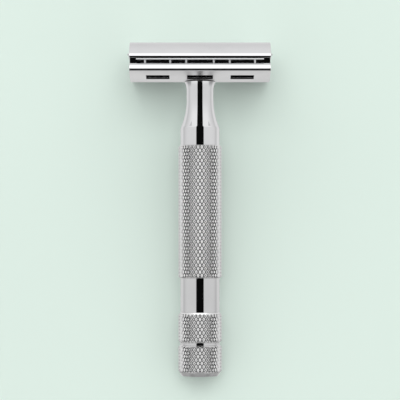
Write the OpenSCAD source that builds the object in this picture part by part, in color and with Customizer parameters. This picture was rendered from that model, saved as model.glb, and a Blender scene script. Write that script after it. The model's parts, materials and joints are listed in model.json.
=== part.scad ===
// Three-piece double-edge safety razor, lying on one side of its head and on its knob.
// Every piece is drawn with the handle upright, the knob's end face at z = 0 and the
// head at the top. lay() then tips the whole razor into its resting position.

/* [Handle] */
// Diameter of the knurled grip and knob
knurl_d = 12.8; // [12:0.1:14]
// Diameter of the smooth barrel and of the band under the neck
smooth_d = 11.5; // [10.5:0.1:11.7]
// Diameter of the neck at its waist
waist_d = 7.9; // [7.8:0.1:9]
// Diameter of the neck where it meets the head
neck_top_d = 9.2; // [9.2:0.1:9.6]
// Diameter of the knob's flat end face
end_face_d = 10.5; // [10:0.1:11.5]
// Diameter of the groove between the two knob rings
groove_d = 11.6; // [11:0.1:12]
// Length of the lower knob ring
knob_end_len = 9.1; // [8:0.1:10]
// Length of the groove
groove_len = 0.65; // [0.5:0.05:1.5]
// Length of the upper knob ring
knob_ring_len = 9; // [8:0.05:10]
// Length of the smooth barrel
barrel_len = 10.15; // [8:0.05:12]
// Length of the knurled grip
grip_len = 39.1; // [34:0.1:42]
// Length of the smooth band between the grip and the neck
band_len = 5.2; // [4:0.1:7]
// Length of the neck from the band to its top face
neck_len = 13.75; // [13:0.05:15]

/* [Head] */
// Thickness of the head from the handle's seat to the cap's crest
head_h = 11.6; // [11.4:0.1:12]
// Length of the cap
cap_len = 41.5; // [41:0.1:42]
// Half the depth of the cap, to its lip
cap_half = 9.6; // [9.4:0.1:9.8]
// Length of the base plate
plate_len = 41.1; // [40.6:0.1:42]
// Radius of the bend that the cap gives the blade
blade_r = 23; // [22:0.5:25]
// Width of a middle lather slot, along the blade
mid_slot_len = 7.5; // [6.5:0.1:7.6]
// Width of an outer lather slot, along the blade
side_slot_len = 6.8; // [6:0.1:7]

/* [Blade] */
// Overall length of the blade
blade_len = 42.6; // [42:0.1:43]
// Length of each cutting edge
edge_len = 37.3; // [37:0.1:38]
// Width of the blade when flat
blade_w = 22; // [21.8:0.1:22.2]
// Width of the blade's end tabs
tab_w = 12.9; // [12:0.1:13.5]
// Thickness of the blade
blade_t = 0.1; // [0.08:0.01:0.12]

/* [Hidden] */
$fn = 96;
arc_step = 5;
cut = 0.5;

// Gaps: between clamped pieces, around a guide post, around the stud in its thread
clamp_gap = 0.05;
post_gap = 0.06;
thread_gap = 0.05;

// Heights of the handle's shoulders above the end face
groove_z = knob_end_len;
ring_z = groove_z + groove_len;
barrel_z = ring_z + knob_ring_len;
grip_z = barrel_z + barrel_len;
band_z = grip_z + grip_len;
neck_z = band_z + band_len;
neck_top_z = neck_z + neck_len;
seat_z = neck_top_z + clamp_gap;
crest_z = seat_z + head_h;

// Chamfers of the knob and the grip
end_chamfer = 1.6;
ring_chamfer = 0.75;
ring_foot = 0.65;
knob_chamfer = 0.45;
grip_chamfer = 0.35;

// Inside of the handle
core_r = 4;
core_bottom = 3;
spigot_r = 3;
spigot_len = 8;
insert_r = 3.2;
insert_depth = 9;
insert_inset = 0.45;

// Curves of the neck: how far the lower and the upper flare run along the handle
low_flare_len = 8.4;
top_flare_len = 2.6;

// The stud and the guide posts under the cap
stud_r = 2.5;
stud_len = 17.8;
stud_hole_r = 2.75;
post_r = 1.5;
post_x = 14;
post_len = 8.5;
socket_roof = 1.4;
post_floor_z = crest_z - socket_roof - post_len - 0.4;

// Blade: bend centre, reach of the edge, and the central slot
blade_crest_z = crest_z - 3.3;
bend_z = blade_crest_z - blade_r;
edge_angle = blade_w / 2 / blade_r * 180 / PI;
edge_y = blade_r * sin(edge_angle);
tab_y = blade_r * sin(tab_w / 2 / blade_r * 180 / PI);
blade_hole_r = 2.9;
blade_post_hole_r = 1.85;
blade_slot_w = 2;
blade_slot_len = 34;

// Cap: lip rounding, the angle where it ends at a narrow land, its centre, and the radius of
// the main curve that meets it smoothly
lip_r = 3.2;
lip_end = 15.4;
lip_land = 0.05;
lip_y = cap_half - lip_r * cos(lip_end);
lip_edge_z = bend_z + sqrt(pow(blade_r + clamp_gap, 2) - cap_half * cap_half) + lip_land;
lip_z = lip_edge_z - lip_r * sin(lip_end);
lip_drop = crest_z - lip_z;
cap_r = (lip_y * lip_y + lip_drop * lip_drop - lip_r * lip_r) / (2 * (lip_drop - lip_r));
cap_turn = atan2(lip_y, cap_r - lip_drop);

// Base plate: lower curve, guard bar nose, its facet and shoulder
plate_r = 39;
nose_r = 0.56;
nose_y = 12.34;
nose_z = seat_z + plate_r - sqrt(pow(plate_r - nose_r, 2) - nose_y * nose_y);
nose_turn = asin(nose_y / (plate_r - nose_r));
facet_tilt = 34;
facet_len = 0.8;
shoulder_r = 2.6;
facet_end = [nose_y + nose_r * cos(facet_tilt) - facet_len * sin(facet_tilt),
             nose_z + nose_r * sin(facet_tilt) + facet_len * cos(facet_tilt)];
shoulder = facet_end - shoulder_r * [cos(facet_tilt), sin(facet_tilt)];
crown_r = blade_r - blade_t - clamp_gap;
crown_y = 10.15;
crown_turn = asin(crown_y / crown_r);
seat_r = 5;

// Trough under the cutting edge, its ribs, and the lather slots through the plate
trough_in = 8.9;
trough_out = shoulder[0];
trough_z = nose_z + 0.55;
pocket_top = trough_z + 1.6;
slot_in = 5.2;
slot_out = 9.3;
side_slot_x = 12.35;
rib_t = 0.55;
rib_front = 10.1;
SLOTS = [[-side_slot_x, side_slot_len], [0, mid_slot_len], [side_slot_x, side_slot_len]];

// Resting position: the guard bar and the knob's lower edge touch the table
rest_run = nose_z - end_chamfer;
rest_rise = nose_y - knurl_d / 2;
lift = atan2(rest_rise, rest_run) + asin(nose_r / norm([rest_run, rest_rise]));
rest_z = knurl_d / 2 * cos(lift) - end_chamfer * sin(lift);
tail_y = -end_face_d / 2 * sin(lift);
front_y = (crest_z - cap_r) * cos(lift) + cap_r;
mid_y = (tail_y + front_y) / 2;

// Points along an arc about centre c, in the plane of an outline
function arc(c, r, from, to) =
    let (steps = ceil(abs(to - from) / arc_step))
    [for (i = [0:steps]) let (a = from + (to - from) * i / steps) c + r * [cos(a), sin(a)]];

// An outline and its mirror image across the middle of the head
function both_sides(half) =
    concat(half, [for (i = [len(half) - 1:-1:0]) [-half[i][0], half[i][1]]]);

// Tips the upright razor onto the table, with the middle of its length over the origin
module lay() {
    translate([0, -mid_y, rest_z]) rotate([lift - 90, 0, 0]) children();
}

// Extrudes an outline drawn as depth and height along the blade's length
module along_blade(length) {
    rotate([90, 0, 90]) linear_extrude(height = length, center = true) children();
}

// A ring of the handle, bevelled inwards by the drops at its two ends
module sleeve(r, length, bore, low = [0, 0], high = [0, 0]) {
    rotate_extrude()
        polygon([[bore, 0], [r - low[0], 0], [r, low[1]],
                 [r, length - high[1]], [r - high[0], length], [bore, length]]);
}

// Domed cap that bends the blade, with blind sockets for the stud and the posts
module cap_shell() {
    color("silver") lay() difference() {
        along_blade(cap_len) difference() {
            polygon(both_sides(concat(
                [[cap_half, bend_z]],
                arc([lip_y, lip_z], lip_r, lip_end, 90 - cap_turn),
                arc([0, crest_z - cap_r], cap_r, 90 - cap_turn, 90))));
            translate([0, bend_z]) circle(r = blade_r + clamp_gap);
            translate([-cap_half - cut, bend_z - cut])
                square([2 * (cap_half + cut), blade_r * cos(edge_angle) + cut]);
        }
        translate([0, 0, bend_z]) cylinder(r = stud_r, h = crest_z - socket_roof - bend_z);
        for (x = [-post_x, post_x])
            translate([x, 0, bend_z]) cylinder(r = post_r, h = crest_z - socket_roof - bend_z);
    }
}

// Threaded stud, drawn at its outer diameter, with a bevelled tip
module cap_stud() {
    color("lightsteelblue") lay() translate([0, 0, crest_z - socket_roof - stud_len])
        sleeve_solid(stud_r, stud_len, 0.6);
}

// A solid pin standing on its bevelled tip
module sleeve_solid(r, length, bevel) {
    rotate_extrude() polygon([[0, 0], [r - bevel, 0], [r, bevel], [r, length], [0, length]]);
}

// One of the two posts that line up the blade and the base plate
module guide_post(x) {
    color("lightsteelblue") lay() translate([x, 0, crest_z - socket_roof - post_len])
        sleeve_solid(post_r, post_len, 0.4);
}

module guide_post_left() {
    guide_post(-post_x);
}

module guide_post_right() {
    guide_post(post_x);
}

// Bent blade with its two edges, end tabs and central slot
module blade() {
    color("gainsboro") lay() intersection() {
        along_blade(blade_len) difference() {
            translate([0, bend_z]) circle(r = blade_r);
            translate([0, bend_z]) circle(r = blade_r - blade_t);
            translate([-blade_r, bend_z - blade_r]) square([2 * blade_r, 1.5 * blade_r]);
        }
        translate([0, 0, bend_z]) linear_extrude(height = 2 * blade_r) difference() {
            union() {
                square([edge_len, 2 * edge_y], center = true);
                square([blade_len + cut, 2 * tab_y], center = true);
            }
            square([blade_slot_len, blade_slot_w], center = true);
            circle(r = blade_hole_r);
            for (x = [-post_x, post_x]) translate([x, 0]) circle(r = blade_post_hole_r);
        }
    }
}

// Outline of the base plate: domed underside, guard bars and the crown that carries the blade
module plate_outline() {
    polygon(both_sides(concat(
        arc([0, seat_z + plate_r], plate_r, -90, nose_turn - 90),
        arc([nose_y, nose_z], nose_r, nose_turn - 90, facet_tilt),
        arc(shoulder, shoulder_r, facet_tilt, 90),
        [[crown_y, shoulder[1] + shoulder_r]],
        arc([0, bend_z], crown_r, 90 - crown_turn, 90))));
}

// Room under one cutting edge, left solid at the round-fronted ribs beside each slot
module trough() {
    difference() {
        translate([-plate_len / 2 - cut, trough_in, trough_z])
            cube([plate_len + 2 * cut, trough_out - trough_in, head_h]);
        for (slot = SLOTS, side = [-1, 1])
            translate([slot[0] + side * (slot[1] + rib_t) / 2, rib_front - rib_t / 2, 0]) {
                translate([-rib_t / 2, -rib_front, 0]) cube([rib_t, rib_front, crest_z]);
                cylinder(d = rib_t, h = crest_z);
            }
    }
}

// Lather slots of one side, each with the pocket that joins it to the trough
module lather_slots() {
    for (slot = SLOTS) {
        translate([slot[0] - slot[1] / 2, slot_in, seat_z - cut])
            cube([slot[1], slot_out - slot_in, pocket_top - seat_z + cut]);
        translate([slot[0] - slot[1] / 2, slot_in, trough_z])
            cube([slot[1], trough_out - slot_in, pocket_top - trough_z]);
    }
}

// Base plate with its guard bars, seat for the neck, a hole for the stud and wells for the posts
module base_plate() {
    color("silver") lay() difference() {
        union() {
            along_blade(plate_len) plate_outline();
            translate([0, 0, seat_z]) cylinder(r = seat_r, h = 1);
        }
        for (turn = [0, 180]) rotate([0, 0, turn]) {
            trough();
            lather_slots();
        }
        translate([0, 0, seat_z - cut]) cylinder(r = stud_hole_r, h = head_h);
        for (x = [-post_x, post_x])
            translate([x, 0, post_floor_z]) cylinder(r = post_r + post_gap, h = head_h);
    }
}

// Waisted neck with the smooth band below it, bored for the insert and the core's spigot
module neck() {
    smooth_r = smooth_d / 2;
    waist_r = waist_d / 2;
    low_step = smooth_r - waist_r;
    top_step = neck_top_d / 2 - waist_r;
    low_r = (pow(low_flare_len, 2) + pow(low_step, 2)) / (2 * low_step);
    top_r = (pow(top_flare_len, 2) + pow(top_step, 2)) / (2 * top_step);
    low_turn = asin(low_flare_len / low_r);
    top_turn = asin(top_flare_len / top_r);
    color("silver") lay() difference() {
        rotate_extrude() polygon(concat(
            [[0, band_z], [smooth_r, band_z]],
            arc([waist_r + low_r, neck_z + low_flare_len], low_r, 180 + low_turn, 180),
            arc([waist_r + top_r, neck_top_z - top_flare_len], top_r, 180, 180 - top_turn),
            [[0, neck_top_z]]));
        translate([0, 0, neck_top_z - insert_inset - insert_depth])
            cylinder(r = insert_r, h = insert_depth + insert_inset + cut);
        translate([0, 0, band_z - cut]) cylinder(r = spigot_r, h = spigot_len + cut);
    }
}

// Bush inside the top of the neck that takes the stud
module thread_insert() {
    color("goldenrod") lay() translate([0, 0, neck_top_z - insert_inset - insert_depth])
        sleeve(insert_r, insert_depth, stud_r + thread_gap);
}

// Rod through the middle of the handle, with a spigot up into the neck
module core_rod() {
    color("dimgray") lay() union() {
        translate([0, 0, core_bottom]) cylinder(r = core_r, h = band_z - core_bottom);
        translate([0, 0, core_bottom]) cylinder(r = spigot_r, h = band_z - core_bottom + spigot_len);
    }
}

// Knurled sleeve that the hand holds
module grip_sleeve() {
    color("darkgray") lay() translate([0, 0, grip_z])
        sleeve(knurl_d / 2, grip_len, core_r, [grip_chamfer, grip_chamfer], [grip_chamfer, grip_chamfer]);
}

// Smooth tube between the grip and the knob
module barrel() {
    color("silver") lay() translate([0, 0, barrel_z]) sleeve(smooth_d / 2, barrel_len, core_r);
}

// Upper knurled ring of the knob
module knob_ring() {
    color("darkgray") lay() translate([0, 0, ring_z])
        sleeve(knurl_d / 2, knob_ring_len, core_r, [(knurl_d - groove_d) / 2, ring_foot],
               [(knurl_d - smooth_d) / 2, ring_chamfer]);
}

// Smooth spacer seen as the groove between the knob rings
module knob_spacer() {
    color("silver") lay() translate([0, 0, groove_z]) sleeve(groove_d / 2, groove_len, core_r);
}

// Closed end of the knob, with the flat face that the razor can stand on
module knob_end() {
    color("darkgray") lay() difference() {
        sleeve(knurl_d / 2, knob_end_len, 0, [(knurl_d - end_face_d) / 2, end_chamfer],
               [(knurl_d - groove_d) / 2, knob_chamfer]);
        translate([0, 0, core_bottom]) cylinder(r = core_r, h = knob_end_len);
    }
}

cap_shell();
cap_stud();
guide_post_left();
guide_post_right();
blade();
base_plate();
neck();
thread_insert();
core_rod();
grip_sleeve();
barrel();
knob_ring();
knob_spacer();
knob_end();
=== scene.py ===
"""Looks of the double-edge safety razor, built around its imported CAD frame.

Shapes are drawn in the razor's own upright frame, in millimetres: x along the blade, y towards
the table, z from the knob's end face towards the cap. UPRIGHT lays them into the row frame.
"""
import json
import math

import bmesh
import bpy
import numpy as np
from mathutils import Matrix, Vector


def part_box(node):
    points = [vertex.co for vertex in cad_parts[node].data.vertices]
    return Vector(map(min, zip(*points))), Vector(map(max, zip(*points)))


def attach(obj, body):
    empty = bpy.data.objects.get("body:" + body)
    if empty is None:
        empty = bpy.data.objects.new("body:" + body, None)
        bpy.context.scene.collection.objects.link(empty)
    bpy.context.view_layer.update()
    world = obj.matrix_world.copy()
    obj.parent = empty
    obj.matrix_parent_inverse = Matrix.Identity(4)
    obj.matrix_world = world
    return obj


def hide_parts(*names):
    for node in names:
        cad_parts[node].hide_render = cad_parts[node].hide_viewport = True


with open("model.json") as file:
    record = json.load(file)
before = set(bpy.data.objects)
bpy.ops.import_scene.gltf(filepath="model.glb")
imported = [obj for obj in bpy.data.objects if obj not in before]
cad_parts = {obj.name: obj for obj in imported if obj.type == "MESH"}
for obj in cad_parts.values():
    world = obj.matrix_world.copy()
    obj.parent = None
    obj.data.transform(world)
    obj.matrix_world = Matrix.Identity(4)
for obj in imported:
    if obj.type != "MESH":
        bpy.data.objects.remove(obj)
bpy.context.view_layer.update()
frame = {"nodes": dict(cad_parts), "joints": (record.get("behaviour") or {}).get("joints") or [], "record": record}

MM = 0.001

# ------------------------------------------------------------------ the frame's own places

turn_joint = next(j for j in frame["joints"] if j["name"] == "handle_turn")
end_mount = next(m for m in frame["record"]["mounts"] if m["name"] == "knob_end_face")
TAIL = Vector(end_mount["pos_m"])
TO_TAIL = Vector(turn_joint["axis"]).normalized()
TO_HEAD = -TO_TAIL
ACROSS = Vector((1, 0, 0))
TO_CAMERA = ACROSS.cross(TO_HEAD)

UPRIGHT = Matrix((
    (ACROSS.x, -TO_CAMERA.x, TO_HEAD.x, TAIL.x),
    (ACROSS.y, -TO_CAMERA.y, TO_HEAD.y, TAIL.y),
    (ACROSS.z, -TO_CAMERA.z, TO_HEAD.z, TAIL.z),
    (0, 0, 0, 1),
)) @ Matrix.Scale(MM, 4)


def upright_span(node):
    """Lowest and highest height of a CAD node above the end face, along the handle, in mm."""
    heights = [(v.co - TAIL).dot(TO_HEAD) / MM for v in frame["nodes"][node].data.vertices]
    return min(heights), max(heights)


# ------------------------------------------------------------------ camera

CAMERA_RANGE = 600      # from the handle's axis
SQUARE_ON_Z = 38        # height on the handle that the camera looks at square on
TARGET_Z = 51.95        # height on the handle at the middle of the picture
VIEW_WIDTH = 118.4      # width of what it sees at the axis
SENSOR = 36


def add_camera():
    """The photograph's view: nearly straight down on the razor, a little from the knob's side."""
    data = bpy.data.cameras.new("camera")
    camera = bpy.data.objects.new("camera", data)
    bpy.context.scene.collection.objects.link(camera)
    eye = TAIL + TO_HEAD * SQUARE_ON_Z * MM + TO_CAMERA * CAMERA_RANGE * MM
    target = TAIL + TO_HEAD * TARGET_Z * MM
    back = (eye - target).normalized()
    up = (TO_HEAD - back * TO_HEAD.dot(back)).normalized()
    right = up.cross(back)
    camera.matrix_world = Matrix((
        (right.x, up.x, back.x, eye.x),
        (right.y, up.y, back.y, eye.y),
        (right.z, up.z, back.z, eye.z),
        (0, 0, 0, 1),
    ))
    data.sensor_width = SENSOR
    data.lens = SENSOR * (eye - target).length / (VIEW_WIDTH * MM)
    data.clip_start = 0.01
    data.clip_end = 50
    bpy.context.scene.camera = camera


# ------------------------------------------------------------------ mesh helpers

ON_AXIS = 1e-6          # nearer to the middle than this counts as on it
WELD = 1e-4             # points nearer than this are one after cutting
OVERCUT = 1             # how far a cutter reaches past what it cuts
NEAR_END = 0.01         # closer to a piece's end than this counts as on it


def arc(centre, radius, start, end, step):
    """Points along an arc, with angles in degrees."""
    count = max(2, math.ceil(abs(end - start) / step) + 1)
    angles = np.radians(np.linspace(start, end, count))
    return [(centre[0] + radius * math.cos(a), centre[1] + radius * math.sin(a)) for a in angles]


def both_sides(half):
    """An outline from the middle out, closed by its mirror image."""
    mirrored = [(-y, z) for y, z in reversed(half) if abs(y) > ON_AXIS]
    return list(half) + mirrored


def finish_piece(bm, name, body, replaced, material, sharp=40.0, flat_faces=True):
    mesh = bpy.data.meshes.new(name)
    bmesh.ops.recalc_face_normals(bm, faces=bm.faces)
    bm.to_mesh(mesh)
    bm.free()
    mesh.transform(UPRIGHT)
    mesh.materials.append(material)
    piece = bpy.data.objects.new(name, mesh)
    bpy.context.scene.collection.objects.link(piece)
    mesh.shade_smooth()
    mesh.set_sharp_from_angle(angle=math.radians(sharp))
    if flat_faces:
        # large flat faces keep their own normals, so that only the rounded edges shade as round
        weighted = piece.modifiers.new("face_weighted_normals", "WEIGHTED_NORMAL")
        weighted.keep_sharp = True
    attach(piece, body)
    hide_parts(replaced)
    return piece


def lathe(outline, segments=144):
    """A closed solid turned from a closed outline of (radius, height) points."""
    bm = bmesh.new()
    rings = []
    for radius, z in outline:
        if radius < ON_AXIS:
            rings.append([bm.verts.new((0, 0, z))])
            continue
        turns = [2 * math.pi * i / segments for i in range(segments)]
        rings.append([bm.verts.new((radius * math.cos(a), radius * math.sin(a), z)) for a in turns])
    for low, high in zip(rings, rings[1:] + rings[:1]):
        if len(low) == 1 and len(high) == 1:
            continue
        for i in range(segments):
            j = (i + 1) % segments
            corners = [low[i % len(low)], low[j % len(low)], high[j % len(high)], high[i % len(high)]]
            bm.faces.new(list(dict.fromkeys(corners)))
    return bm


def soft_corner(before, corner, after, radius):
    """Replaces an outline's corner by a small round, so that a turned edge catches the light."""
    before, corner, after = (Vector(p) for p in (before, corner, after))
    start = corner + (before - corner).normalized() * radius
    end = corner + (after - corner).normalized() * radius
    steps = 3
    curve = []
    for i in range(steps + 1):
        t = i / steps
        curve.append(tuple(start * (1 - t) ** 2 + corner * 2 * t * (1 - t) + end * t * t))
    return curve


def extrude_along_blade(outline, length):
    """A solid from an outline of (y, z) points, centred along the blade."""
    bm = bmesh.new()
    left = [bm.verts.new((-length / 2, y, z)) for y, z in outline]
    right = [bm.verts.new((length / 2, y, z)) for y, z in outline]
    bm.faces.new(left)
    bm.faces.new(list(reversed(right)))
    for i in range(len(outline)):
        j = (i + 1) % len(outline)
        bm.faces.new((left[i], right[i], right[j], left[j]))
    bmesh.ops.recalc_face_normals(bm, faces=bm.faces)
    return bm


def box_cutter(low, high):
    """A box between two corners, for cutting."""
    bm = bmesh.new()
    bmesh.ops.create_cube(bm, size=1)
    size = Vector(high) - Vector(low)
    middle = (Vector(high) + Vector(low)) / 2
    bm.transform(Matrix.Translation(middle) @ Matrix.Diagonal((*size, 1)))
    return bm


def tube_cutter(x, radius, low, high, segments=96):
    """An upright cylinder, for cutting."""
    bm = lathe([(0, low), (radius, low), (radius, high), (0, high)], segments)
    bm.transform(Matrix.Translation((x, 0, 0)))
    return bm


def cut_solid(bm, cutters):
    """Cuts several solids out of one and returns the result."""
    def as_object(source, name):
        mesh = bpy.data.meshes.new(name)
        bmesh.ops.recalc_face_normals(source, faces=source.faces)
        source.to_mesh(mesh)
        source.free()
        made = bpy.data.objects.new(name, mesh)
        bpy.context.scene.collection.objects.link(made)
        return made

    body = as_object(bm, "cut_body")
    tools = []
    for i, cutter in enumerate(cutters):
        tool = as_object(cutter, f"cut_tool_{i}")
        modifier = body.modifiers.new(tool.name, "BOOLEAN")
        modifier.operation = "DIFFERENCE"
        modifier.solver = "EXACT"
        modifier.object = tool
        tools.append(tool)
    depsgraph = bpy.context.evaluated_depsgraph_get()
    result = bmesh.new()
    result.from_object(body, depsgraph)
    for used in [body, *tools]:
        bpy.data.objects.remove(used)
    bmesh.ops.remove_doubles(result, verts=result.verts, dist=WELD)
    return result


BEVEL_SHARP = 30.0      # angle above which an edge is rounded


def bevel_edges(bm, width, outer=lambda place: True):
    """Rounds every sharp edge a little, if both of its ends are at outer places."""
    edges = [e for e in bm.edges if len(e.link_faces) == 2
             and e.calc_face_angle() > math.radians(BEVEL_SHARP)
             and all(outer(v.co) for v in e.verts)]
    bmesh.ops.bevel(bm, geom=edges, offset=width, offset_type="OFFSET", segments=3,
                    profile=0.5, affect="EDGES", clamp_overlap=False)


# ------------------------------------------------------------------ materials

CLOUD_SCALE = 90.0      # the slow drift of colour and gloss, in cycles per metre
GRAIN_SCALE = 2600.0    # the fine grain
GRAIN_BUMP = 0.04
# Painted shade in the knurl's grooves, darkest at their bottoms
GROOVE_SHADE_AMOUNT = 0.6       # painted shade: how much of the dark groove colour shows at the bottom of a groove
GROOVE_SHADE_COLOUR = (0.10, 0.10, 0.10, 1)


class Nodes:
    """Short calls for building a material's nodes."""

    def __init__(self, tree):
        self.tree = tree

    def add(self, kind, inputs=None, **settings):
        node = self.tree.nodes.new(kind)
        for key, value in settings.items():
            setattr(node, key, value)
        for key, value in (inputs or {}).items():
            if isinstance(value, bpy.types.NodeSocket):
                self.tree.links.new(value, node.inputs[key])
            else:
                node.inputs[key].default_value = value
        return node

    def math(self, operation, a, b=0.0, c=0.0):
        return self.add("ShaderNodeMath", {0: a, 1: b, 2: c}, operation=operation).outputs[0]

    def band(self, value, low, high, out_low=0.0, out_high=1.0):
        """A smooth step from out_low to out_high as value goes from low to high."""
        node = self.add("ShaderNodeMapRange", {
            "Value": value, "From Min": low, "From Max": high,
            "To Min": out_low, "To Max": out_high}, interpolation_type="SMOOTHSTEP")
        return node.outputs[0]

    def ramp(self, value, stops):
        """Straight lines between (value, output) stops, for values from -1 to 1."""
        spread = self.math("MULTIPLY_ADD", value, 0.5, 0.5)
        node = self.add("ShaderNodeValToRGB", {"Fac": spread})
        elements = node.color_ramp.elements
        while len(elements) < len(stops):
            elements.new(0.5)
        for element, (at, out) in zip(elements, stops):
            element.position = (at + 1) / 2
            element.color = (out, out, out, 1)
        return node.outputs["Color"]

    def noise(self, coords, scale, detail=2.0):
        node = self.add("ShaderNodeTexNoise", {
            "Vector": coords, "Scale": scale, "Detail": detail, "Roughness": 0.55})
        return node.outputs["Fac"]

    def mix(self, factor, a, b):
        node = self.add("ShaderNodeMix", data_type="RGBA")
        for socket, value in ((0, factor), (6, a), (7, b)):
            if isinstance(value, bpy.types.NodeSocket):
                self.tree.links.new(value, node.inputs[socket])
            else:
                node.inputs[socket].default_value = value
        return node.outputs[2]


def metal(name, colour, shade, roughness, smudge, brush=0.0, grain_run=(40, 2600, 2600),
          painted_groove_shade=False):
    """A metal with faint colour drift, handling smudges in its gloss and fine polishing lines.

    colour and shade are its two tones, roughness its gloss where clean, smudge how much rougher
    the handled patches are, brush the strength of its fine lines and grain_run their scale along
    each axis, and the last argument paints shade into the grooves marked in the "groove" attribute.
    """
    material = bpy.data.materials.new(name)
    material.use_nodes = True
    n = Nodes(material.node_tree)
    shader = material.node_tree.nodes["Principled BSDF"]
    place = n.add("ShaderNodeTexCoord").outputs["Object"]
    cloud = n.noise(place, CLOUD_SCALE, 3.0)
    base = n.mix(n.band(cloud, 0.35, 0.7), colour, shade)
    rough = n.band(cloud, 0.42, 0.72, roughness, roughness + smudge)
    material.node_tree.links.new(rough, shader.inputs["Roughness"])
    # painted shade: the colour darkens towards the bottom of each groove
    if painted_groove_shade:
        groove = n.add("ShaderNodeAttribute", attribute_name="groove").outputs["Fac"]
        base = n.mix(n.math("MULTIPLY", groove, GROOVE_SHADE_AMOUNT), base, GROOVE_SHADE_COLOUR)
    material.node_tree.links.new(base, shader.inputs["Base Color"])
    shader.inputs["Metallic"].default_value = 1.0
    if brush:
        stretch = n.add("ShaderNodeMapping", {"Vector": place, "Scale": grain_run})
        lines = n.noise(stretch.outputs[0], 1.0)
        bump = n.add("ShaderNodeBump", {"Height": lines, "Strength": brush, "Distance": 1e-5})
    else:
        grain = n.noise(place, GRAIN_SCALE)
        bump = n.add("ShaderNodeBump", {
            "Height": grain, "Strength": GRAIN_BUMP, "Distance": 1e-6})
    material.node_tree.links.new(bump.outputs[0], shader.inputs["Normal"])
    return material


MIRROR_CHROME = metal("mirror_chrome", (0.80, 0.80, 0.81, 1), (0.77, 0.77, 0.78, 1), 0.035, 0.03)
BARREL_CHROME = metal("barrel_chrome", (0.71, 0.71, 0.715, 1), (0.68, 0.68, 0.685, 1), 0.05, 0.03,
                      brush=0.12, grain_run=(2600, 30, 200))
SATIN_CHROME = metal("satin_chrome", (0.86, 0.86, 0.86, 1), (0.82, 0.82, 0.82, 1), 0.30, 0.06)
# the knurl's chrome has painted shade in its grooves
KNURL_CHROME = metal("knurl_chrome", (0.84, 0.84, 0.84, 1), (0.81, 0.81, 0.81, 1), 0.10, 0.05,
                     painted_groove_shade=True)
BLADE_STEEL = metal("blade_steel", (0.78, 0.79, 0.80, 1), (0.72, 0.73, 0.74, 1), 0.14, 0.05,
                    brush=0.25)
EDGE_STEEL = metal("edge_steel", (0.85, 0.86, 0.87, 1), (0.80, 0.81, 0.82, 1), 0.22, 0.04,
                   brush=0.35)
STUD_STEEL = metal("stud_steel", (0.66, 0.66, 0.65, 1), (0.58, 0.58, 0.57, 1), 0.20, 0.08)
INSERT_BRASS = metal("insert_brass", (0.76, 0.58, 0.30, 1), (0.66, 0.48, 0.24, 1), 0.22, 0.08)
CORE_STEEL = metal("core_steel", (0.52, 0.52, 0.52, 1), (0.45, 0.45, 0.45, 1), 0.28, 0.08)

# ------------------------------------------------------------------ the handle

# Radii
KNURL_R = 6.4
SMOOTH_R = 5.75
WAIST_R = 3.95
NECK_TOP_R = 4.6
END_FACE_R = 5.25
GROOVE_R = 5.8
CORE_R = 4.0
SPIGOT_R = 3.0
BUSH_R = 3.2

# Lengths along the handle
GRIP_CHAMFER = 0.35
RING_CHAMFERS = (0.65, 0.75)
END_CHAMFERS = (1.6, 0.45)
END_BORE_FLOOR = 3.0
BAND_TO_TOP = 13.75     # from the top of the neck's smooth band to the neck's top
LOW_FLARE = 8.4
TOP_FLARE = 2.6
BUSH_DEPTH = 9.45
SPIGOT_DEPTH = 8

# The diamond knurl
KNURL_STARTS = 34       # grooves of each hand around the handle
KNURL_LEAD = 1.98       # length of one diamond along the handle
KNURL_DEPTH = 0.34
KNURL_FINE = 4          # mesh steps across half a diamond
TIP_ROUND = 2.6         # how rounded the tips are, from 1 for a sharp pyramid
RIM_ROW = 0.04          # height of the mesh row at each end


def knurled(outline, low, high):
    """The outside of a tube, as the lower of a turned outline and a diamond knurl, and its rings.

    outline is a function of height that gives the radius of the blank before it is knurled.
    """
    columns = KNURL_STARTS * 2 * KNURL_FINE
    step = KNURL_LEAD / (2 * KNURL_FINE)
    inner_rows = np.arange(math.ceil(low / step + 0.01), math.floor(high / step - 0.01) + 1) * step
    rows = np.concatenate(([low, low + RIM_ROW], inner_rows, [high - RIM_ROW, high]))
    rows = np.unique(np.round(rows, 5))
    turns = np.arange(columns) * 2 * math.pi / columns
    around = turns * KNURL_STARTS / (2 * math.pi)
    bm = bmesh.new()
    # how deep each point lies in a groove, which the knurl's material turns into painted shade
    groove_shade_mark = bm.verts.layers.float.new("groove")

    def valley(phase):
        return np.abs((phase % 1.0) - 0.5) * 2

    rings = []
    for z in rows:
        along = z / KNURL_LEAD
        height = 1 - np.maximum(valley(around + along + 0.5), valley(around - along + 0.5))
        height = 1 - (1 - height) ** TIP_ROUND
        blank = outline(z)
        cut = KNURL_R - KNURL_DEPTH * (1 - height)
        ring = []
        for angle, r, h in zip(turns, np.minimum(blank, cut), height):
            vert = bm.verts.new((r * math.cos(angle), r * math.sin(angle), z))
            # painted shade weight: 0 on the tips and on the smooth chamfers, rising to 1 at a groove's bottom
            vert[groove_shade_mark] = float((1 - h) ** 2) if r < blank - 1e-4 else 0.0
            ring.append(vert)
        rings.append(ring)
    for k, (below, above) in enumerate(zip(rings, rings[1:])):
        row = round(rows[k] / step)
        for i in range(columns):
            j = (i + 1) % columns
            if diagonal_rises(i, row):
                bm.faces.new((below[i], below[j], above[j]))
                bm.faces.new((below[i], above[j], above[i]))
            else:
                bm.faces.new((below[i], below[j], above[i]))
                bm.faces.new((below[j], above[j], above[i]))
    return bm, rings


def diagonal_rises(column, row):
    """Whether the knurl's crease through this mesh cell climbs to the right."""
    across = (column % (2 * KNURL_FINE)) + 0.5
    along = (row % (2 * KNURL_FINE)) + 0.5
    right = across > KNURL_FINE
    upper = along > KNURL_FINE
    return right == upper


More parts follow.
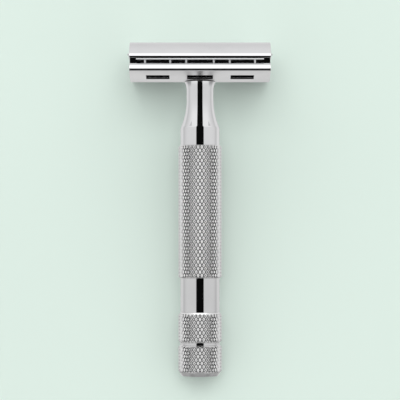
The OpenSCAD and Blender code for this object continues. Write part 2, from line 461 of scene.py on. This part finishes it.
def close_tube(bm, rings, bore, low, high, floor=None):
    """Closes a knurled skin with its end faces and its bore; floor gives a blind bore's bottom."""
    columns = len(rings[0])
    turns = [2 * math.pi * i / columns for i in range(columns)]

    def circle(radius, z):
        return [bm.verts.new((radius * math.cos(a), radius * math.sin(a), z)) for a in turns]

    def bridge(first, second):
        for i in range(columns):
            j = (i + 1) % columns
            bm.faces.new((first[i], first[j], second[j], second[i]))

    top = circle(bore, high)
    bridge(rings[-1], top)
    if floor is None:
        bottom = circle(bore, low)
        bridge(top, bottom)
        bridge(bottom, rings[0])
        return
    bottom = circle(bore, floor)
    bridge(top, bottom)
    bm.faces.new(bottom)
    bm.faces.new(list(reversed(rings[0])))


def make_knurled(name, node, rim_radii, chamfers, floor=None):
    """A knurled sleeve whose blank narrows to a rim radius over a chamfer at each end."""
    low, high = upright_span(node)
    heights = (low, low + chamfers[0], high - chamfers[1], high)
    radii = (rim_radii[0], KNURL_R, KNURL_R, rim_radii[1])
    bm, rings = knurled(lambda z: float(np.interp(z, heights, radii)), low, high)
    close_tube(bm, rings, CORE_R, low, high, floor)
    finish_piece(bm, name, "handle", node, KNURL_CHROME, sharp=35.0,
                 flat_faces=False)


def make_handle():
    """The knurled grip and the knob's two knurled rings, the lower one closed at its end."""
    grip_rim = KNURL_R - GRIP_CHAMFER
    make_knurled("grip_knurl", "grip_sleeve", (grip_rim, grip_rim), (GRIP_CHAMFER, GRIP_CHAMFER))
    make_knurled("knob_ring_knurl", "knob_ring", (GROOVE_R, SMOOTH_R), RING_CHAMFERS)
    make_knurled("knob_end_knurl", "knob_end", (END_FACE_R, GROOVE_R), END_CHAMFERS,
                 floor=END_BORE_FLOOR)


def turned_sleeve(name, node, radius, material):
    """A smooth chromed sleeve with softened rims."""
    low, high = upright_span(node)
    rim = 0.08
    outline = [(CORE_R, low)]
    outline += soft_corner((CORE_R, low), (radius, low), (radius, high), rim)
    outline += soft_corner((radius, low), (radius, high), (CORE_R, high), rim)
    outline += [(CORE_R, high)]
    finish_piece(lathe(outline), name, "handle", node, material)


def make_neck():
    """Waisted neck and the smooth band below it, bored for the bush and for the core's spigot."""
    low, high = upright_span("neck")
    flare_z = high - BAND_TO_TOP
    low_step = SMOOTH_R - WAIST_R
    top_step = NECK_TOP_R - WAIST_R
    low_r = (LOW_FLARE ** 2 + low_step ** 2) / (2 * low_step)
    top_r = (TOP_FLARE ** 2 + top_step ** 2) / (2 * top_step)
    low_turn = math.degrees(math.asin(LOW_FLARE / low_r))
    top_turn = math.degrees(math.asin(TOP_FLARE / top_r))
    outline = [(SPIGOT_R, low)]
    outline += soft_corner((SPIGOT_R, low), (SMOOTH_R, low), (SMOOTH_R, flare_z), 0.1)
    outline += arc((WAIST_R + low_r, flare_z + LOW_FLARE), low_r, 180 + low_turn, 180, 1.5)
    outline += arc((WAIST_R + top_r, high - TOP_FLARE), top_r, 180, 180 - top_turn, 2)[:-1]
    outline += soft_corner(outline[-1], (NECK_TOP_R, high), (BUSH_R, high), 0.12)
    bush_z, spigot_z = high - BUSH_DEPTH, low + SPIGOT_DEPTH
    outline += [(BUSH_R, high), (BUSH_R, bush_z), (0, bush_z), (0, spigot_z), (SPIGOT_R, spigot_z)]
    finish_piece(lathe(outline), "neck_turned", "handle", "neck", MIRROR_CHROME)


# ------------------------------------------------------------------ the head

CREST_Z = upright_span("cap_shell")[1]
SEAT_Z = upright_span("base_plate")[0]
BEND_R = 23.0           # the outside of the bent blade
CREST_TO_BLADE = 3.3
BEND_Z = CREST_Z - CREST_TO_BLADE - BEND_R
GAP = 0.05              # between clamped pieces
STUD_R = 2.5
STUD_HOLE_R = 2.75      # in the plate
POST_R = 1.5
POST_X = 14.0
POST_GAP = 0.06
POST_TIP = 0.4

# The cap
CAP_HALF = 9.6
LIP_R = 3.2
LIP_END = 15.4          # degrees above level where the lip's round begins
LIP_LAND = 0.05         # height of the flat below it
CAP_BEVEL = 0.12

# The plate: troughs under the cutting edges, ribs in them and lather slots as (middle, length)
TROUGH_IN = 8.9
TROUGH_RISE = 0.55      # of the troughs' floor above the middle of the guard bar's round
RIB_T = 0.55
RIB_FRONT = 10.1
SLOTS = ((-12.35, 6.8), (0, 7.5), (12.35, 6.8))
SLOT_IN, SLOT_OUT = 5.2, 9.3
POCKET_DEEP = 1.6
WELL_DEEP = 10.3        # of the posts' wells, below the crest
PLATE_BEVEL = 0.05
SHARP_RIM_R = 3         # the rim of the stud's hole, inside this radius, stays sharp
FACES_DOWN = -0.9       # faces whose normal's z is below this belong to the underside

# The blade: half its width, half its tabs' width and half its cutting edges' length, when flat
BLADE_T = 0.1
BLADE_HALF = 11.0
TAB_HALF = 6.45
CUTTING_HALF = 18.65
GRIND = 0.9             # width of the ground edge
EDGE_T = 0.012
BLADE_SLOT = (17, 1)    # half the slot's length and half its width
BLADE_HOLE_R = 2.9
BLADE_POST_HOLE_R = 1.85
EDGE_ANGLE = math.degrees(BLADE_HALF / BEND_R)
EDGE_Y = BEND_R * math.sin(math.radians(EDGE_ANGLE))
TAB_Y = BEND_R * math.sin(TAB_HALF / BEND_R)


def node_length(node):
    """Length of a CAD node along the blade, in mm."""
    low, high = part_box(node)
    return (high.x - low.x) / MM


def make_cap():
    """Domed cap with rounded lips and softened ends."""
    under_r = BEND_R + GAP
    under_turn = math.degrees(math.asin(CAP_HALF / under_r))
    under_edge_z = BEND_Z + math.sqrt(under_r ** 2 - CAP_HALF ** 2)
    lip_y = CAP_HALF - LIP_R * math.cos(math.radians(LIP_END))
    lip_z = under_edge_z + LIP_LAND - LIP_R * math.sin(math.radians(LIP_END))
    drop = CREST_Z - lip_z
    cap_r = (lip_y ** 2 + drop ** 2 - LIP_R ** 2) / (2 * (drop - LIP_R))
    turn = math.degrees(math.atan2(lip_y, cap_r - drop))
    half = arc((0, BEND_Z), under_r, 90, 90 - under_turn, 1.5)[:-1]
    half += arc((lip_y, lip_z), LIP_R, LIP_END, 90 - turn, 6)
    half += arc((0, CREST_Z - cap_r), cap_r, 90 - turn, 90, 1.5)[1:]
    bm = extrude_along_blade(both_sides(half), node_length("cap_shell"))
    bevel_edges(bm, CAP_BEVEL)
    finish_piece(bm, "cap_dome", "cap", "cap_shell", MIRROR_CHROME)


def trough_cutter(side, reach, outer, heights):
    """The room under one cutting edge, seen from above as a bar with notches round the ribs."""
    ribs = sorted(x + end * (size + RIB_T) / 2 for x, size in SLOTS for end in (-1, 1))
    outline = [(-reach, outer), (-reach, TROUGH_IN)]
    for x in ribs:
        outline.append((x - RIB_T / 2, TROUGH_IN))
        outline += arc((x, RIB_FRONT - RIB_T / 2), RIB_T / 2, 180, 0, 20)
        outline.append((x + RIB_T / 2, TROUGH_IN))
    outline += [(reach, TROUGH_IN), (reach, outer)]
    bm = bmesh.new()
    rings = [[bm.verts.new((x, side * y, z)) for x, y in outline] for z in heights]
    bm.faces.new(rings[0])
    bm.faces.new(rings[1])
    for i in range(len(outline)):
        j = (i + 1) % len(outline)
        bm.faces.new((rings[0][i], rings[0][j], rings[1][j], rings[1][i]))
    return bm


def slot_cutter(side, slot, outer, heights):
    """A box over one lather slot, from the slot's inner wall out to outer."""
    x, size = slot
    near, far = sorted((side * SLOT_IN, side * outer))
    return box_cutter((x - size / 2, near, heights[0]), (x + size / 2, far, heights[1]))


def make_plate():
    """Base plate: domed underside, guard bars, blade crown, troughs with ribs and lather slots."""
    plate_r, nose_r, nose_y = 39.0, 0.56, 12.34
    nose_z = SEAT_Z + plate_r - math.sqrt((plate_r - nose_r) ** 2 - nose_y ** 2)
    nose_turn = math.degrees(math.asin(nose_y / (plate_r - nose_r)))
    tilt, facet, shoulder_r = 34.0, 0.8, 2.6
    cos_t, sin_t = math.cos(math.radians(tilt)), math.sin(math.radians(tilt))
    end_y = nose_y + nose_r * cos_t - facet * sin_t
    end_z = nose_z + nose_r * sin_t + facet * cos_t
    shoulder = (end_y - shoulder_r * cos_t, end_z - shoulder_r * sin_t)
    crown_r, crown_y = BEND_R - BLADE_T - GAP, 10.15
    crown_turn = math.degrees(math.asin(crown_y / crown_r))
    half = arc((0, SEAT_Z + plate_r), plate_r, -90, nose_turn - 90, 1.5)
    half += arc((nose_y, nose_z), nose_r, nose_turn - 90, tilt, 6)[1:]
    half += arc(shoulder, shoulder_r, tilt, 90, 4)
    half += [(crown_y, shoulder[1] + shoulder_r)]
    half += arc((0, BEND_Z), crown_r, 90 - crown_turn, 90, 1.5)
    length = node_length("base_plate")
    bm = extrude_along_blade(both_sides(half), length)
    trough_out, trough_z = shoulder[0], nose_z + TROUGH_RISE
    pocket_top = trough_z + POCKET_DEEP
    cutters = []
    for side in (-1, 1):
        cutters.append(trough_cutter(side, length / 2 + OVERCUT, trough_out, (trough_z, CREST_Z)))
        for slot in SLOTS:
            cutters.append(slot_cutter(side, slot, SLOT_OUT, (SEAT_Z - OVERCUT, pocket_top)))
            cutters.append(slot_cutter(side, slot, trough_out, (trough_z, pocket_top)))
    cutters.append(tube_cutter(0, STUD_HOLE_R, SEAT_Z - OVERCUT, CREST_Z))
    for x in (-POST_X, POST_X):
        cutters.append(tube_cutter(x, POST_R + POST_GAP, CREST_Z - WELL_DEEP, CREST_Z, 64))
    bm = cut_solid(bm, cutters)

    def is_outer(place):
        at_end = abs(place.x) > length / 2 - NEAR_END
        below = place.z < nose_z and math.hypot(place.x, place.y) > SHARP_RIM_R
        return at_end or below

    bevel_edges(bm, PLATE_BEVEL, is_outer)
    bm.normal_update()
    for face in bm.faces:
        if face.normal.z < FACES_DOWN:
            face.material_index = 1
    piece = finish_piece(bm, "plate_cast", "base_plate", "base_plate",
                         MIRROR_CHROME)
    piece.data.materials.append(SATIN_CHROME)


def make_blade():
    """Bent blade with ground edges, end tabs and its central slot."""
    outer, inner = BEND_R, BEND_R - BLADE_T
    grind = math.degrees(GRIND / BEND_R)
    half = arc((0, BEND_Z), outer, 90, 90 - EDGE_ANGLE + grind, 1.0)
    middle = (outer + inner) / 2
    for radius in (middle + EDGE_T / 2, middle - EDGE_T / 2):
        turn = math.radians(90 - EDGE_ANGLE)
        half.append((radius * math.cos(turn), BEND_Z + radius * math.sin(turn)))
    half += arc((0, BEND_Z), inner, 90 - EDGE_ANGLE + grind, 90, 1.0)
    length = node_length("blade")
    bm = extrude_along_blade(both_sides(half), length)
    z0, z1 = BEND_Z + BEND_R / 2, CREST_Z + OVERCUT
    cutters = []
    for sx in (-1, 1):
        for sy in (-1, 1):
            xs = sorted((sx * CUTTING_HALF, sx * (length / 2 + OVERCUT)))
            ys = sorted((sy * TAB_Y, sy * (EDGE_Y + OVERCUT)))
            cutters.append(box_cutter((xs[0], ys[0], z0), (xs[1], ys[1], z1)))
    reach, width = BLADE_SLOT
    cutters.append(box_cutter((-reach, -width, z0), (reach, width, z1)))
    cutters.append(tube_cutter(0, BLADE_HOLE_R, z0, z1, 64))
    for x in (-POST_X, POST_X):
        cutters.append(tube_cutter(x, BLADE_POST_HOLE_R, z0, z1, 48))
    bm = cut_solid(bm, cutters)
    ground_y = BEND_R * math.sin(math.radians(EDGE_ANGLE - grind))
    for face in bm.faces:
        if abs(face.calc_center_median().y) > ground_y:
            face.material_index = 1
    piece = finish_piece(bm, "blade_sheet", "blade", "blade", BLADE_STEEL)
    piece.data.materials.append(EDGE_STEEL)


def make_stud():
    """Stud with a real right-hand thread and a bevelled tip."""
    low, high = upright_span("cap_stud")
    pitch, root_r, segments, per_turn = 0.8, 2.03, 72, 10
    tip_bevel = 0.6
    root_flat, flank_share = 0.125, 0.625
    rows = int((high - low) / pitch * per_turn)
    bm = bmesh.new()
    rings = []
    for k in range(rows + 1):
        z = low + (high - low) * k / rows
        limit = min(STUD_R, STUD_R - tip_bevel + (z - low))
        ring = []
        for i in range(segments):
            angle = 2 * math.pi * i / segments
            phase = ((z - low) / pitch - i / segments) % 1.0
            flank = min(1.0, max(0.0, (abs(phase - 0.5) * 2 - root_flat) / flank_share))
            r = min(limit, root_r + (STUD_R - root_r) * flank)
            ring.append(bm.verts.new((r * math.cos(angle), r * math.sin(angle), z)))
        rings.append(ring)
    for below, above in zip(rings, rings[1:]):
        for i in range(segments):
            j = (i + 1) % segments
            bm.faces.new((below[i], below[j], above[j], above[i]))
    bm.faces.new(list(reversed(rings[0])))
    bm.faces.new(rings[-1])
    finish_piece(bm, "stud_thread", "cap", "cap_stud", STUD_STEEL)


def make_posts():
    """The two guide posts, with rounded tips."""
    for side, x in (("left", -POST_X), ("right", POST_X)):
        node = f"guide_post_{side}"
        low, high = upright_span(node)
        tip = arc((POST_R - POST_TIP, low + POST_TIP), POST_TIP, -90, 0, 15)
        bm = lathe([(0, low), *tip, (POST_R, high), (0, high)], 64)
        bm.transform(Matrix.Translation((x, 0, 0)))
        finish_piece(bm, f"post_{side}", "cap", node, STUD_STEEL)


# ------------------------------------------------------------------ floor, light and sky

TABLE_HALF = 4.0        # metres
TABLE_COLOUR = (0.75, 0.878, 0.803, 1)
TABLE_TINT = (0.765, 0.893, 0.818, 1)
TABLE_DRIFT = 6.0       # how fast it changes from one to the other, per metre


def add_floor():
    """Plain pale mint table."""
    mesh = bpy.data.meshes.new("table_top")
    bm = bmesh.new()
    bmesh.ops.create_grid(bm, x_segments=1, y_segments=1, size=TABLE_HALF)
    bm.to_mesh(mesh)
    bm.free()
    material = bpy.data.materials.new("table_paint")
    material.use_nodes = True
    n = Nodes(material.node_tree)
    shader = material.node_tree.nodes["Principled BSDF"]
    place = n.add("ShaderNodeTexCoord").outputs["Object"]
    drift = n.noise(place, TABLE_DRIFT)
    colour = n.mix(n.band(drift, 0.3, 0.7), TABLE_COLOUR, TABLE_TINT)
    material.node_tree.links.new(colour, shader.inputs["Base Color"])
    shader.inputs["Roughness"].default_value = 0.75
    mesh.materials.append(material)
    floor = bpy.data.objects.new("table_top", mesh)
    bpy.context.scene.collection.objects.link(floor)
    floor.visible_glossy = False


# Brightness of the studio against how far up a direction points (-1 down, 1 up): to the sides,
# with a dip a little below level, and along the razor.
SIDE_PANELS = ((-1, 0.64), (-0.85, 0.80), (-0.62, 0.84), (-0.5, 0.80), (-0.37, 0.62), (-0.2, 0.70),
               (0, 0.78), (0.2, 0.80), (1, 0.80))
AXIS_PANELS = ((-1, 0.62), (-0.57, 0.78), (0, 0.88), (0.35, 1.0), (0.7, 1.0), (1, 0.80))
GAP_LEVEL = 0.005        # the dark gap between the two overhead panels
GAP_HALF_WIDTH = math.tan(math.radians(22.2))
GAP_TO_HEAD = math.tan(math.radians(57))
GAP_TO_TAIL = math.tan(math.radians(52))
GAP_BLUR = 0.03
HEAD_STRIP = 0.45        # how much brighter the strip beyond the head is
TAIL_SHADE = 0.35        # brightness left straight beyond the knob
TAIL_CORNER = 0.5        # how much darker it is to both sides of there
SIDE_LIFT = 0.2          # how much brighter the sides are towards the head

# Where the brightness changes, as how far a direction points to the head, across or up
LENGTHWISE = (0.35, 0.8)
LIFT_HEAD, LIFT_UP = (0.0, 0.6), (0.0, 0.5)
TAIL_HEAD = (-0.97, -0.75)
CORNER_HEAD, CORNER_ACROSS, CORNER_UP = (-0.5, -0.1), (0.15, 0.35), (0.0, 0.25)
STRIP_HEAD, STRIP_UP = (0.83, 0.88), (0.02, 0.10)


def add_sky():
    """A studio as the chrome sees it: white panels all round and a dark gap over the razor."""
    world = bpy.data.worlds.new("studio")
    bpy.context.scene.world = world
    world.use_nodes = True
    n = Nodes(world.node_tree)
    background = world.node_tree.nodes["Background"]
    direction = n.add("ShaderNodeTexCoord").outputs["Generated"]

    def along(axis):
        node = n.add("ShaderNodeVectorMath", {0: direction, 1: tuple(axis)},
                     operation="DOT_PRODUCT")
        return node.outputs["Value"]

    def edge(value, at, out_low, out_high):
        return n.band(value, at - GAP_BLUR, at + GAP_BLUR, out_low, out_high)

    up = along(TO_CAMERA)
    head = along(TO_HEAD)
    above = n.math("MAXIMUM", up, 0.001)
    across = n.math("ABSOLUTE", along(ACROSS))
    side = n.math("DIVIDE", across, above)
    ahead = n.math("DIVIDE", head, above)
    gap = n.math("MULTIPLY", edge(side, GAP_HALF_WIDTH, 1, 0), edge(ahead, GAP_TO_HEAD, 1, 0))
    gap = n.math("MULTIPLY", gap, edge(ahead, -GAP_TO_TAIL, 0, 1))
    lengthwise = n.band(n.math("ABSOLUTE", head), *LENGTHWISE)
    lift = n.math("MULTIPLY", n.band(head, *LIFT_HEAD, 0.0, SIDE_LIFT), n.band(up, *LIFT_UP))
    sideways = n.math("ADD", n.ramp(up, SIDE_PANELS), lift)
    panels = n.mix(lengthwise, sideways, n.ramp(up, AXIS_PANELS))
    panels = n.math("MULTIPLY", panels, n.band(head, *TAIL_HEAD, TAIL_SHADE, 1.0))
    corner_head = n.band(head, *CORNER_HEAD, TAIL_CORNER, 0.0)
    corner = n.math("MULTIPLY", corner_head, n.band(across, *CORNER_ACROSS))
    corner = n.math("MULTIPLY", corner, n.band(up, *CORNER_UP, 1.0, 0.0))
    panels = n.math("MULTIPLY", panels, n.math("SUBTRACT", 1.0, corner))
    strip = n.math("MULTIPLY", n.band(head, *STRIP_HEAD), n.band(up, *STRIP_UP))
    panels = n.math("ADD", panels, n.math("MULTIPLY", strip, HEAD_STRIP))
    level = n.math("MULTIPLY", panels, n.math("SUBTRACT", 1.0 + GAP_LEVEL, gap))
    world.node_tree.links.new(level, background.inputs["Strength"])
    background.inputs["Color"].default_value = (1, 1, 1, 1)


KEY_AT = (0, 0.28, 1.1)  # metres
KEY_SIZE = 0.8
KEY_POWER = 6.0          # watts


def add_key_light():
    """A soft key high over the table, a little beyond the head, that the chrome doesn't reflect."""
    data = bpy.data.lights.new("key_softbox", "AREA")
    data.size = KEY_SIZE
    data.energy = KEY_POWER
    lamp = bpy.data.objects.new("key_softbox", data)
    bpy.context.scene.collection.objects.link(lamp)
    lamp.location = KEY_AT
    lamp.rotation_euler = (-lamp.location).to_track_quat("-Z", "Y").to_euler()
    lamp.visible_glossy = False


# ------------------------------------------------------------------ build

add_camera()
make_handle()
turned_sleeve("barrel_tube", "barrel", SMOOTH_R, BARREL_CHROME)
turned_sleeve("knob_groove", "knob_spacer", GROOVE_R, BARREL_CHROME)
make_neck()
make_cap()
make_plate()
make_blade()
make_stud()
make_posts()
for node, material in (("thread_insert", INSERT_BRASS), ("core_rod", CORE_STEEL)):
    for material_slot in frame["nodes"][node].material_slots:
        material_slot.material = material
add_floor()
add_sky()
add_key_light()
bpy.context.scene.view_settings.view_transform = "Standard"
